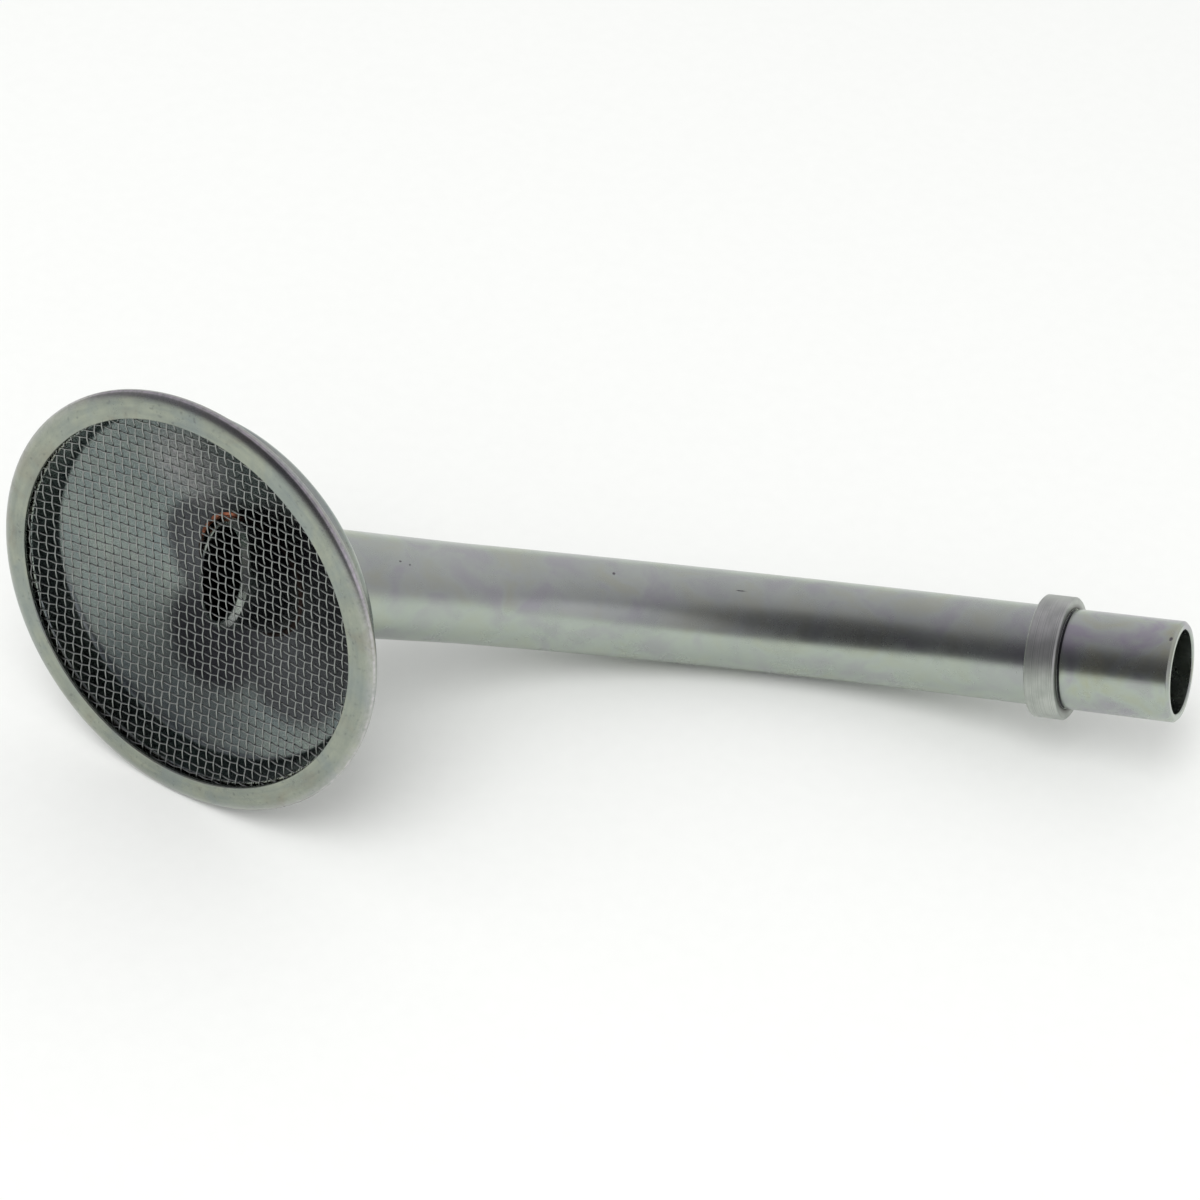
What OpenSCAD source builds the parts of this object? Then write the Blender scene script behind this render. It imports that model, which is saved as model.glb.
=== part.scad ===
// Oil pickup tube: a bent suction tube with a press-in spigot and a stop collar at one end,
// and a pressed funnel with a wire gauze strainer at the other. Millimetres, +Z up.

/* [Suction tube] */
// Outside diameter of the tube
tube_d = 18; // [16:0.5:20]
// Wall thickness of the tube
tube_wall = 1.5; // [1:0.1:2]
// Length of the spigot that goes into the pump
spigot_len = 20; // [14:0.5:28]
// How much the spigot is ground under the tube's diameter
spigot_relief = 0.1; // [0.05:0.05:0.3]
// Width of the undercut at the root of the spigot
undercut_w = 0.6; // [0.4:0.1:1.2]
// Depth of the undercut below the spigot
undercut_d = 0.3; // [0.2:0.05:0.4]
// Straight length from the collar's shoulder to the bend
shank_len = 20.5; // [12:0.5:40]
// Radius of the bend on the tube's centre line
bend_r = 99; // [70:1:130]
// Angle the bend turns through
bend_angle = 55; // [35:1:75]
// Length of the straight leg from the bend to the mouth
leg_len = 46; // [40:0.5:60]
// How much the mouth is swaged over the tube's diameter
mouth_swage = 1.5; // [0:0.1:2]
// Chamfer round the outside of the spigot's end
end_chamfer = 0.5; // [0.2:0.1:0.8]
// Chamfer inside both ends of the tube
bore_chamfer = 0.2; // [0.1:0.1:0.5]

/* [Stop collar] */
// Height of the collar above the tube
collar_h = 2; // [1:0.1:4]
// Width of the collar along the tube
collar_w = 5.5; // [3:0.5:10]
// Chamfer on the collar's edges
collar_chamfer = 0.3; // [0.1:0.1:0.6]

/* [Strainer funnel] */
// Outside diameter over the turned edge
rim_d = 77.5; // [70:0.5:86]
// Width of the lip that holds the gauze
lip_w = 4.8; // [4:0.1:6]
// Thickness of the funnel's sheet
sheet = 0.85; // [0.8:0.05:1.4]
// Depth of the pan at its wall, from the rim's face
pan_depth = 8.3; // [6:0.1:10]
// Fillet inside the pan's corner
pan_corner = 1.5; // [1:0.1:2]
// Slope of the funnel's floor
floor_slope = 22; // [20:1:30]
// Angle between the tube's leg and the funnel's axis
bell_tilt = 37; // [25:1:42]
// Turn of the funnel round the tube's leg
bell_turn = 46.5; // [0:0.5:90]
// Width of the crease left in the side of the turned edge
crease_w = 0.3; // [0.2:0.1:0.5]

/* [Strainer gauze] */
// Diameter of the wire
wire_d = 0.3; // [0.2:0.05:0.4]
// Spacing of the wires in the weave
wire_pitch = 1.68; // [1.4:0.02:2]
// Rows of openings modelled across the gauze
gauze_rows = 11; // [7:1:11]
// Depth the gauze is dished into the funnel
gauze_sag = 2.5; // [1.5:0.1:3]
// Turn of the weave in the rim
weave_turn = 28; // [0:1:90]

/* [Braze and fits] */
// Width of the braze round the tube's mouth
braze_w = 1.5; // [0.8:0.1:2]
// Height of the braze above the sheet on both sides
braze_h = 0.9; // [0.4:0.1:1.2]
// Gap round the tube that the braze fills
braze_gap = 0.1; // [0.05:0.01:0.2]
// Play of the gauze under the lip
gauze_play = 0.1; // [0.05:0.05:0.2]
// Clearance between the tube's mouth and the gauze
mouth_clear = 2.55; // [1:0.05:4]
// Length of the tube's leg past the funnel's axis
mouth_proud = 2.1; // [1:0.1:3]
// Clearance between the collar and the tube
collar_clear = 0.02; // [0.01:0.01:0.05]

/* [Attitude at rest] */
// Roll about the spigot
lay_roll = 50.6; // [0:0.1:90]
// Pitch of the spigot above level
lay_pitch = -14.2; // [-30:0.1:30]
// Turn about the vertical
lay_yaw = -22; // [-180:0.1:180]

/* [Hidden] */
$fn = 144;
// Facets on the shallow dish
dish_fn = 1440;
// Overlap that joins the layers of wire to each other and to their edge
weld = 0.1;
// Step and overlap left where the swaging die stopped
swage_step = 0.04;
swage_lap = 0.5;

spigot_d = tube_d - spigot_relief;
tube_bore = tube_d - 2 * tube_wall;
mouth_d = tube_d + mouth_swage;
mouth_bore = mouth_d - 2 * tube_wall;
collar_d = tube_d + 2 * collar_h;
collar_bore = tube_d + 2 * collar_clear;

gauze_t = 2 * wire_d;
slot_h = gauze_t + gauze_play;
hem_t = 2 * sheet + slot_h;
fold_r = hem_t / 2;
hem_r = rim_d / 2 - fold_r;
lip_r = rim_d / 2 - lip_w;
entry_r = 1;
wall_r = lip_r - entry_r;
flange_z = sheet - hem_t;
corner_r = wall_r - pan_corner;
corner_z = pan_corner * (1 / cos(floor_slope) - tan(floor_slope)) - pan_depth;

gauze_z = -sheet - gauze_play / 2;
dish_r = (lip_r * lip_r + gauze_sag * gauze_sag) / (2 * gauze_sag);
dish_z = gauze_z - gauze_sag + dish_r;
gauze_pitch = 2 * lip_r / gauze_rows;
ridge_w = gauze_pitch * wire_d / wire_pitch;

mouth_depth = gauze_sag + gauze_t - gauze_z + mouth_clear;
bell_set = mouth_depth + mouth_proud * cos(bell_tilt) + mouth_d / 2 * sin(bell_tilt);

// Lays the part down as it comes to rest, with the collar's shoulder at the origin
module laid() {
  rotate([lay_roll, lay_pitch, lay_yaw])
    children();
}

// Places a child along the spigot, with +Z out of the pump end
module at_spigot() {
  rotate([0, 90, 0])
    children();
}

// Places a child at the end of the bend, with +Z along the leg
module at_leg() {
  translate([-shank_len - bend_r * sin(bend_angle), 0, bend_r * (1 - cos(bend_angle))])
    rotate([0, bend_angle - 90, 0])
      children();
}

// Places a child at the middle of the rim's face, with +Z out of the funnel
module at_rim() {
  at_leg()
    translate([0, 0, leg_len - mouth_proud])
      rotate([0, 0, -bell_turn])
        rotate([0, bell_tilt, 0])
          translate([0, 0, bell_set])
            children();
}

// Round stock through the bend
module bend_run(d) {
  translate([-shank_len, 0, bend_r])
    rotate([-90, 0, 0])
      rotate([0, 0, 90])
        rotate_extrude(angle = bend_angle)
          translate([bend_r, 0])
            circle(d = d);
}

// The swaged leg between two diameters
module leg_cone(foot, mouth) {
  translate([0, 0, -swage_lap])
    cylinder(h = leg_len + swage_lap, d1 = foot + 2 * swage_step, d2 = mouth);
}

// The leg's outside grown all round
module leg_grown(grow) {
  leg_cone(tube_d + 2 * grow, mouth_d + 2 * grow);
}

// The same, carried on past the mouth
module leg_through(grow) {
  leg_grown(grow);
  translate([0, 0, leg_len])
    cylinder(h = mouth_d, d = mouth_d + 2 * grow);
}

module tube_outside() {
  at_spigot() {
    translate([0, 0, -shank_len])
      cylinder(h = shank_len, d = tube_d);
    cylinder(h = undercut_w, d = spigot_d - 2 * undercut_d);
    translate([0, 0, undercut_w])
      cylinder(h = spigot_len - end_chamfer - undercut_w, d = spigot_d);
    translate([0, 0, spigot_len - end_chamfer])
      cylinder(h = end_chamfer, d1 = spigot_d, d2 = spigot_d - 2 * end_chamfer);
  }
  bend_run(tube_d);
  at_leg()
    leg_cone(tube_d, mouth_d);
}

module tube_inside() {
  at_spigot() {
    translate([0, 0, -shank_len])
      cylinder(h = shank_len + spigot_len, d = tube_bore);
    translate([0, 0, spigot_len - bore_chamfer])
      cylinder(h = 2 * bore_chamfer, d1 = tube_bore, d2 = tube_bore + 4 * bore_chamfer);
  }
  bend_run(tube_bore);
  at_leg() {
    leg_cone(tube_bore, mouth_bore);
    translate([0, 0, leg_len - bore_chamfer])
      cylinder(h = 2 * bore_chamfer, d1 = mouth_bore, d2 = mouth_bore + 4 * bore_chamfer);
  }
}

module suction_tube() {
  color("#9a9d9c")
    laid()
      difference() {
        tube_outside();
        tube_inside();
      }
}

module stop_collar() {
  color("#a6a7a6")
    laid()
      at_spigot()
        rotate_extrude()
          difference() {
            translate([collar_bore / 2, -collar_w])
              square([(collar_d - collar_bore) / 2, collar_w]);
            for (edge = [[collar_d, 0], [collar_d, -collar_w], [collar_bore, 0], [collar_bore, -collar_w]])
              translate([edge[0] / 2, edge[1]])
                rotate(45)
                  square(collar_chamfer * sqrt(2), center = true);
          }
}

// Half section of the space inside the pan, grown outwards for its back
module pan_section(grow) {
  foot_r = corner_r + (pan_corner + grow) * sin(floor_slope);
  foot_z = corner_z - (pan_corner + grow) * cos(floor_slope);
  polygon([
    [0, 0],
    [0, foot_z - foot_r * tan(floor_slope)],
    [foot_r, foot_z],
    [corner_r, corner_z],
    [wall_r + grow, corner_z],
    [wall_r + grow, 0]
  ]);
  translate([corner_r, corner_z])
    circle(r = pan_corner + grow);
}

// Half section of the pan's back, from the flange down
module pan_back() {
  difference() {
    pan_section(sheet);
    translate([0, flange_z])
      square([rim_d, rim_d]);
  }
}

// Half section of the edge turned over into a lip
module hem_section() {
  translate([wall_r, -hem_t])
    square([hem_r - wall_r, sheet]);
  translate([lip_r, -sheet])
    square([hem_r - lip_r, sheet]);
  translate([hem_r, -fold_r])
    difference() {
      circle(r = fold_r);
      circle(r = slot_h / 2);
      translate([-rim_d, -slot_h / 2])
        square([rim_d, slot_h]);
    }
}

// Half section of the metal taken off where the flange turns into the pan
module entry_section() {
  translate([wall_r, flange_z - entry_r])
    difference() {
      square(entry_r);
      translate([entry_r, 0])
        circle(r = entry_r);
    }
}

// Half section of the crease where the lip was closed
module crease_section() {
  translate([hem_r + sqrt(fold_r * fold_r - pow(fold_r - sheet, 2)), -sheet])
    rotate(45)
      square(crease_w, center = true);
}

module funnel_shell() {
  rotate_extrude()
    difference() {
      union() {
        pan_back();
        hem_section();
      }
      pan_section(0);
      entry_section();
      crease_section();
    }
}

module strainer_funnel() {
  color("#8f918b")
    laid()
      difference() {
        at_rim()
          funnel_shell();
        at_leg()
          leg_through(braze_gap);
      }
}

// One layer of the dished gauze between two depths in its thickness
module gauze_layer(top, bottom) {
  rotate_extrude()
    intersection() {
      translate([0, dish_z])
        difference() {
          circle(r = dish_r + bottom, $fn = dish_fn);
          circle(r = dish_r + top, $fn = dish_fn);
        }
      translate([0, gauze_z - gauze_sag - gauze_t])
        square([lip_r, gauze_sag + gauze_t]);
    }
}

// Parallel ridges of wire across the gauze
module gauze_ridges() {
  for (i = [1:gauze_rows - 1])
    translate([-lip_r, (i - gauze_rows / 2) * gauze_pitch - ridge_w / 2, gauze_z - gauze_sag - 2 * gauze_t])
      cube([2 * lip_r, ridge_w, gauze_sag + 4 * gauze_t]);
}

module strainer_gauze() {
  color("#7d7f7a")
    laid()
      at_rim()
        rotate([0, 0, weave_turn]) {
          rotate_extrude()
            translate([lip_r - weld, gauze_z - gauze_t])
              square([hem_r - lip_r + weld, gauze_t]);
          intersection() {
            gauze_layer(0, wire_d + weld);
            gauze_ridges();
          }
          intersection() {
            gauze_layer(wire_d - weld, gauze_t);
            rotate([0, 0, 90])
              gauze_ridges();
          }
        }
}

// Half section of the layer of braze that wets the floor on both sides
module braze_section() {
  difference() {
    pan_section(sheet + braze_h);
    pan_section(-braze_h);
  }
}

module braze_joint() {
  color("#a8673f")
    laid()
      difference() {
        intersection() {
          at_leg()
            leg_grown(braze_w);
          at_rim()
            rotate_extrude()
              braze_section();
        }
        at_leg()
          leg_through(0);
        difference() {
          at_rim()
            funnel_shell();
          at_leg()
            leg_through(braze_gap);
        }
      }
}

suction_tube();
stop_collar();
strainer_funnel();
strainer_gauze();
braze_joint();
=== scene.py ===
import math

import bmesh
import bpy
from mathutils import Matrix, Vector


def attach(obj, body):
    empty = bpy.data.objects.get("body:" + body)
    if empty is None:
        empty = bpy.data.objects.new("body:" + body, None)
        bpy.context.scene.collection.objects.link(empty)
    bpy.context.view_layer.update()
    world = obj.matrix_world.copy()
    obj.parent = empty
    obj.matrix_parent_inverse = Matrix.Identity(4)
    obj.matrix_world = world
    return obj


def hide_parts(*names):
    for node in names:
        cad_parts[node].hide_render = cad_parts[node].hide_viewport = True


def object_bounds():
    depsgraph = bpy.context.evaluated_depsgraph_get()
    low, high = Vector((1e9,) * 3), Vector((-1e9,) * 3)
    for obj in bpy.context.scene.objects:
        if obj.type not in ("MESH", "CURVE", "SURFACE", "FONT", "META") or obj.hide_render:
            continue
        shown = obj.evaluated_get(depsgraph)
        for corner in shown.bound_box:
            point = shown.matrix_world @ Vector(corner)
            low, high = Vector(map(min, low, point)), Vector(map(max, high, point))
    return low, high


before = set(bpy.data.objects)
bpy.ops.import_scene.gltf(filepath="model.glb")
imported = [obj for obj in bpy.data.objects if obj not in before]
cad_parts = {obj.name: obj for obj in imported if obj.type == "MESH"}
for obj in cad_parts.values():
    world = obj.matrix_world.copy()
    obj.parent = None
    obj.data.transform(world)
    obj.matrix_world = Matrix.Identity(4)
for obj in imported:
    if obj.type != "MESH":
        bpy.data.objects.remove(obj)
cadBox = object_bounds()
scene = bpy.context.scene
mm = 0.001
noiseSpan = (0.3, 0.7)  # nearly all of a noise lies between these
print("frame loaded:", ", ".join(sorted(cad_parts)))


def linear(hexText):
    parts = [int(hexText[i:i + 2], 16) / 255 for i in (1, 3, 5)]
    return [p / 12.92 if p <= 0.04045 else ((p + 0.055) / 1.055) ** 2.4 for p in parts] + [1.0]


def addNode(tree, kind, inputs=None, **settings):
    node = tree.nodes.new(kind)
    for key, value in settings.items():
        setattr(node, key, value)
    for key, value in (inputs or {}).items():
        if isinstance(value, bpy.types.NodeSocket):
            tree.links.new(value, node.inputs[key])
        else:
            node.inputs[key].default_value = value
    return node


def newMaterial(name):
    material = bpy.data.materials.new(name)
    material.use_nodes = True
    tree = material.node_tree
    return material, tree, tree.nodes["Principled BSDF"]


# what all the metals share: a colour, a roughness that follows a noise from one value to another, and a relief
def finishMetal(tree, shader, tone, noise, rough, relief=None):
    low, high = noiseSpan
    sheen = addNode(tree, "ShaderNodeMapRange", {"Value": noise, "From Min": low, "From Max": high,
                                                "To Min": rough[0], "To Max": rough[1]})
    shader.inputs["Metallic"].default_value = 1.0
    tree.links.new(tone, shader.inputs["Base Color"])
    tree.links.new(sheen.outputs["Result"], shader.inputs["Roughness"])
    if relief is not None:
        tree.links.new(relief, shader.inputs["Normal"])


# camera: the photograph's own viewpoint, a long lens from above and in front
cameraSet = {
    "place": (-102.041, -406.698, 393.180),  # mm
    "azimuth": 2.4913,                       # degrees, from +Y towards +X
    "dip": 43.3096,                          # degrees below level
    "roll": 4.1558,                          # degrees
    "lens": 96.0, "sensor": 36.0,            # mm
}
lensData = bpy.data.cameras.new("photoCamera")
lensData.lens = cameraSet["lens"]
lensData.sensor_width = cameraSet["sensor"]
lensData.clip_start = 0.01
lensData.clip_end = 50.0
camera = bpy.data.objects.new("photoCamera", lensData)
scene.collection.objects.link(camera)
camera.matrix_world = (
    Matrix.Translation(Vector(cameraSet["place"]) * mm)
    @ Matrix.Rotation(math.radians(-cameraSet["azimuth"]), 4, "Z")
    @ Matrix.Rotation(math.radians(90 - cameraSet["dip"]), 4, "X")
    @ Matrix.Rotation(math.radians(cameraSet["roll"]), 4, "Z")
)
scene.camera = camera
scene.view_settings.view_transform = "Standard"


# studio: pale floor, soft world light, one large lamp, and a graded tent that only shows in the metal
studioSet = {
    "floorColour": "#F6F7F5", "floorFibre": "#F3F4F2", "floorRough": 0.95,
    "floorGrain": 3.0,              # mm
    "floorSize": 8.0,               # m
    "worldFill": 0.80,              # light that reaches the floor from all round
    "lampPlace": (-0.35, -0.55, 1.30),
    "lampSize": 1.0,                # m
    "lampPower": 8.0,               # W
    "tentRadius": 2.6, "tentDrop": 0.3,  # m, and how far the cloth hangs below the table
    "tentAxis": (0.60, 0.80, 0.0),  # towards the bright side, to the right and far side
    "tentGrades": [                 # share from the dark side to the bright side, colour
        (0.00, "#5C5960"),
        (0.08, "#75717A"),
        (0.22, "#97929B"),
        (0.50, "#C2BCC6"),
        (0.80, "#E2DCE5"),
        (1.00, "#F4EFF6"),
    ],
    "tentCards": [                  # cards hung in the tent: azimuth, elevation and reach in degrees, gain
        (-152, 46, 40, 0.45),
        (156, 18, 34, 2.1),
    ],
    "cardCore": 0.2,                # share of a card's reach that is at full gain
    "skirtColour": "#F1F1EF",       # the paper's turned-up edge, low down all round
    "skirtRise": (0.03, 0.19),      # share of the tent's radius, from all paper to all cloth
}


def makeStudio(values):
    half = values["floorSize"] / 2
    ground = cadBox[0][2]
    floorMesh = bpy.data.meshes.new("studioFloor")
    corners = [(-half, -half, ground), (half, -half, ground), (half, half, ground), (-half, half, ground)]
    floorMesh.from_pydata(corners, [], [(0, 1, 2, 3)])
    floor = bpy.data.objects.new("studioFloor", floorMesh)
    scene.collection.objects.link(floor)
    # matt studio paper: even and pale, takes a soft shadow
    paper, tree, shader = newMaterial("mattStudioPaper")
    spot = addNode(tree, "ShaderNodeTexCoord")
    grain = addNode(tree, "ShaderNodeTexNoise", {"Vector": spot.outputs["Object"], "Detail": 2.0,
                                                 "Scale": 1 / (values["floorGrain"] * mm)})
    tone = addNode(tree, "ShaderNodeMix", {"Factor": grain.outputs["Fac"], 6: linear(values["floorColour"]),
                                           7: linear(values["floorFibre"])}, data_type="RGBA")
    tree.links.new(tone.outputs[2], shader.inputs["Base Color"])
    shader.inputs["Roughness"].default_value = values["floorRough"]
    shader.inputs["Specular IOR Level"].default_value = 0.0
    floorMesh.materials.append(paper)

    # white behind everything for what the eye, metal and glass see, plain fill for the rest
    world = bpy.data.worlds.new("studioWorld")
    world.use_nodes = True
    scene.world = world
    tree = world.node_tree
    back = tree.nodes["Background"]
    path = addNode(tree, "ShaderNodeLightPath")
    seen = path.outputs["Is Camera Ray"]
    for ray in ("Is Glossy Ray", "Is Transmission Ray"):
        seen = addNode(tree, "ShaderNodeMath", {0: seen, 1: path.outputs[ray]}, operation="MAXIMUM").outputs[0]
    strength = addNode(tree, "ShaderNodeMix", {"Factor": seen, 2: values["worldFill"], 3: 1.0})
    back.inputs["Color"].default_value = (1, 1, 1, 1)
    tree.links.new(strength.outputs[0], back.inputs["Strength"])

    lampData = bpy.data.lights.new("softLamp", "AREA")
    lampData.shape = "DISK"
    lampData.size = values["lampSize"]
    lampData.energy = values["lampPower"]
    lamp = bpy.data.objects.new("softLamp", lampData)
    lamp.location = values["lampPlace"]
    lamp.rotation_euler = (-Vector(values["lampPlace"])).to_track_quat("-Z", "Y").to_euler()
    lamp.visible_glossy = False
    scene.collection.objects.link(lamp)

    # the tent: half a sphere of cloth over the table, brightest on the far side, seen only in the metal
    radius = values["tentRadius"]
    shell = bmesh.new()
    bmesh.ops.create_uvsphere(shell, u_segments=48, v_segments=24, radius=radius)
    below = [v for v in shell.verts if v.co.z < -values["tentDrop"]]
    bmesh.ops.delete(shell, geom=below, context="VERTS")
    tentMesh = bpy.data.meshes.new("lightTent")
    shell.to_mesh(tentMesh)
    shell.free()
    tent = bpy.data.objects.new("lightTent", tentMesh)
    scene.collection.objects.link(tent)
    cloth, tree, shader = newMaterial("glowingTentCloth")
    place = addNode(tree, "ShaderNodeTexCoord")
    across = addNode(tree, "ShaderNodeVectorMath", {0: place.outputs["Object"], 1: values["tentAxis"]},
                     operation="DOT_PRODUCT")
    share = addNode(tree, "ShaderNodeMapRange", {"Value": across.outputs["Value"], "From Min": -radius,
                                                "From Max": radius})
    ramp = addNode(tree, "ShaderNodeValToRGB", {"Fac": share.outputs["Result"]})
    for i, (at, colour) in enumerate(values["tentGrades"]):
        stop = ramp.color_ramp.elements[i] if i < 2 else ramp.color_ramp.elements.new(at)
        stop.position = at
        stop.color = linear(colour)
    lit = ramp.outputs["Color"]
    for azimuth, elevation, reach, gain in values["tentCards"]:
        turn, tip = math.radians(azimuth), math.radians(elevation)
        towards = Vector((math.sin(turn) * math.cos(tip), math.cos(turn) * math.cos(tip), math.sin(tip)))
        near = addNode(tree, "ShaderNodeVectorMath", {0: place.outputs["Object"], 1: towards / radius},
                       operation="DOT_PRODUCT")
        card = addNode(tree, "ShaderNodeMapRange", {
            "Value": near.outputs["Value"], "From Min": math.cos(math.radians(reach)),
            "From Max": math.cos(math.radians(reach * values["cardCore"])),
            "To Min": 1.0, "To Max": gain}, interpolation_type="SMOOTHSTEP")
        lit = addNode(tree, "ShaderNodeVectorMath", {0: lit, "Scale": card.outputs["Result"]},
                      operation="SCALE").outputs["Vector"]
    apart = addNode(tree, "ShaderNodeSeparateXYZ", {"Vector": place.outputs["Object"]})
    low, high = (radius * part for part in values["skirtRise"])
    climb = addNode(tree, "ShaderNodeMapRange", {"Value": apart.outputs["Z"], "From Min": low, "From Max": high},
                    interpolation_type="SMOOTHSTEP")
    hung = addNode(tree, "ShaderNodeMix", {"Factor": climb.outputs["Result"], 6: linear(values["skirtColour"]),
                                           7: lit}, data_type="RGBA")
    glow = addNode(tree, "ShaderNodeEmission", {"Color": hung.outputs[2]})
    tree.links.new(glow.outputs[0], tree.nodes["Material Output"].inputs["Surface"])
    cloth.cycles.emission_sampling = "NONE"
    tentMesh.materials.append(cloth)
    for ray in ("camera", "diffuse", "transmission", "shadow"):
        setattr(tent, "visible_" + ray, False)


makeStudio(studioSet)
print("studio and camera ready")


# sizes of the part in mm, as it is built, and the frames that its pieces sit in
layout = {
    "roll": 50.6, "pitch": -14.2, "yaw": -22.0,        # attitude at rest, degrees
    "shank": 20.5, "bendRadius": 99.0, "bendAngle": 55.0, "leg": 46.0,
    "bellTilt": 37.0, "bellTurn": 46.5, "mouthProud": 2.1, "mouthDepth": 6.55,
}
tubeSet = {
    "radius": 8.98,                # a hair under the 18 mm tube, whose facets in the frame cut the curve
    "wall": 1.5, "spigot": 20.0, "spigotRadius": 8.95, "undercutWidth": 0.4, "undercutDepth": 0.3,
    "mouthRadius": 9.75, "mouthChamfer": 0.9, "endChamfer": 0.5, "boreChamfer": 0.2, "sides": 160, "step": 2.0,
    "burntFrom": 33.0, "burntTo": 38.0, "burntEnd": (0.8, 1.1),  # along the leg, the last from its mouth
    # painted shade: in the undercut at the spigot's root, then down the bore
    "paintedShadeSide": 0.1, "paintedShadeDepth": (0.02, 0.15),                # in the undercut
    "boreShadeWall": 0.7, "boreShadeTo": 10.0, "boreShadeEnd": 0.5,             # in the bore: share of the wall, along the leg
}
bend = math.radians(layout["bendAngle"])
laidFrame = (Matrix.Rotation(math.radians(layout["yaw"]), 4, "Z")
             @ Matrix.Rotation(math.radians(layout["pitch"]), 4, "Y")
             @ Matrix.Rotation(math.radians(layout["roll"]), 4, "X"))
legFrame = (laidFrame
            @ Matrix.Translation((-layout["shank"] - layout["bendRadius"] * math.sin(bend), 0,
                                  layout["bendRadius"] * (1 - math.cos(bend))))
            @ Matrix.Rotation(bend - math.pi / 2, 4, "Y"))
tilt = math.radians(layout["bellTilt"])
bellSet = layout["mouthDepth"] + layout["mouthProud"] * math.cos(tilt) + tubeSet["mouthRadius"] * math.sin(tilt)
rimFrame = (legFrame
            @ Matrix.Translation((0, 0, layout["leg"] - layout["mouthProud"]))
            @ Matrix.Rotation(math.radians(-layout["bellTurn"]), 4, "Z")
            @ Matrix.Rotation(tilt, 4, "Y")
            @ Matrix.Translation((0, 0, bellSet)))
spigotFrame = laidFrame @ Matrix.Rotation(math.pi / 2, 4, "Y")
rimToLeg = legFrame.inverted() @ rimFrame
legToRim = rimFrame.inverted() @ legFrame


# rounds the corners of a closed outline: points are (a, b, corner radius), a corner takes up to a share of each
# side, and guard points just past it keep the flats flat
def softCorners(points, steps=4, sideShare=0.42, guard=1.15):
    outline = []
    for i, (a, b, size) in enumerate(points):
        here = Vector((a, b))
        if size == 0:
            outline.append(here)
            continue
        before = Vector(points[i - 1][:2]) - here
        after = Vector(points[(i + 1) % len(points)][:2]) - here
        opening = before.angle(after)
        reach = min(size / math.tan(opening / 2), sideShare * before.length, sideShare * after.length)
        start = here + before.normalized() * reach
        end = here + after.normalized() * reach
        outline.append(here + before.normalized() * reach * guard)
        for k in range(steps + 1):
            t = k / steps
            outline.append(start * (1 - t) ** 2 + here * 2 * t * (1 - t) + end * t ** 2)
        outline.append(here + after.normalized() * reach * guard)
    return outline


def ease(x, low, high):
    t = min(max((x - low) / (high - low), 0.0), 1.0)
    return t * t * (3 - 2 * t)


# skins a closed run of closed rings; u runs round and v along the run, both in mm, and each tint is a
# share from 0 to 1 at every point that the material reads by name
def ringPiece(name, rings, place, girth, material, tints=None):
    count, sides = len(rings), len(rings[0])
    run = [0.0]
    for i in range(count):
        run.append(run[-1] + (rings[(i + 1) % count][0] - rings[i][0]).length)
    verts = [(place @ p) * mm for ring in rings for p in ring]
    faces, marks = [], []
    for i in range(count):
        for j in range(sides):
            nextRing, nextSide = (i + 1) % count, (j + 1) % sides
            faces.append((i * sides + j, i * sides + nextSide,
                          nextRing * sides + nextSide, nextRing * sides + j))
            u0, u1 = girth * j / sides, girth * (j + 1) / sides
            marks += [(u0, run[i]), (u1, run[i]), (u1, run[i + 1]), (u0, run[i + 1])]
    mesh = bpy.data.meshes.new(name)
    mesh.from_pydata(verts, [], faces)
    layer = mesh.uv_layers.new(name="surface")
    for i, mark in enumerate(marks):
        layer.data[i].uv = mark
    work = bmesh.new()
    work.from_mesh(mesh)
    bmesh.ops.recalc_face_normals(work, faces=work.faces)
    work.to_mesh(mesh)
    work.free()
    for tintName, tint in (tints or {}).items():
        shares = mesh.attributes.new(tintName, "FLOAT", "POINT")
        shares.data.foreach_set("value", [tint(p) for ring in rings for p in ring])
    mesh.shade_smooth()
    mesh.materials.append(material)
    piece = bpy.data.objects.new(name, mesh)
    scene.collection.objects.link(piece)
    return piece


def handOver(piece, node):
    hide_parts(node)
    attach(piece, "root")


# zinc plated drawn steel tube: a satin grey-green skin with a yellow and violet cast in clouds, faint lines
# along the draw, a few handling marks, a burnt end where it was brazed that is also painted shade on the end in
# the pan, and painted shade in the undercut and down the bore
plateSet = {
    # the burnt colour is heat tint, and also painted shade in the undercut, down the bore and on the end in the
    # pan
    "pale": "#AFB8AE", "dull": "#9FA7A0", "yellow": "#A6AA90", "violet": "#9A94A1", "burnt": "#4C4D50",
    "fields": [                    # noise: name, size in mm, detail, roughness, swirl
        ("cloud", 11.0, 4.0, 0.55, 0.0),
        ("patch", 5.0, 4.0, 0.65, 0.0),
        ("cast", 8.0, 3.0, 0.55, 0.6),
        ("grain", 0.35, 2.0, 0.5, 0.0),
    ],
    "casts": [                     # colour, the noise that it follows, where that gives none and all of it
        ("yellow", "cast", 0.5, 0.66),
        ("violet", "cast", 0.5, 0.36),
        ("dull", "patch", 0.52, 0.75),
    ],
    "castShare": 0.34, "spigotShare": 0.66, "spigotEnd": 22.0, "stain": 0.45,
    "drawWidth": 0.5, "drawLength": 60.0, "drawShare": 0.5,  # mm, and share of the relief
    "rough": (0.21, 0.30), "relief": 0.004,                  # relief in mm
    "marks": [                     # round the tube, along it, half width, half length, all in mm
        (35.2, 114.8, 0.36, 0.42),
        (34.2, 87.5, 0.13, 1.10),
        (33.3, 161.6, 0.18, 0.26),
        (32.8, 159.8, 0.16, 0.22),
        (34.4, 1.85, 0.5, 0.36),
    ],
    "markColour": "#636264", "markDepth": 0.05, "markEdge": (1.55, 1.05),
}


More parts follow.
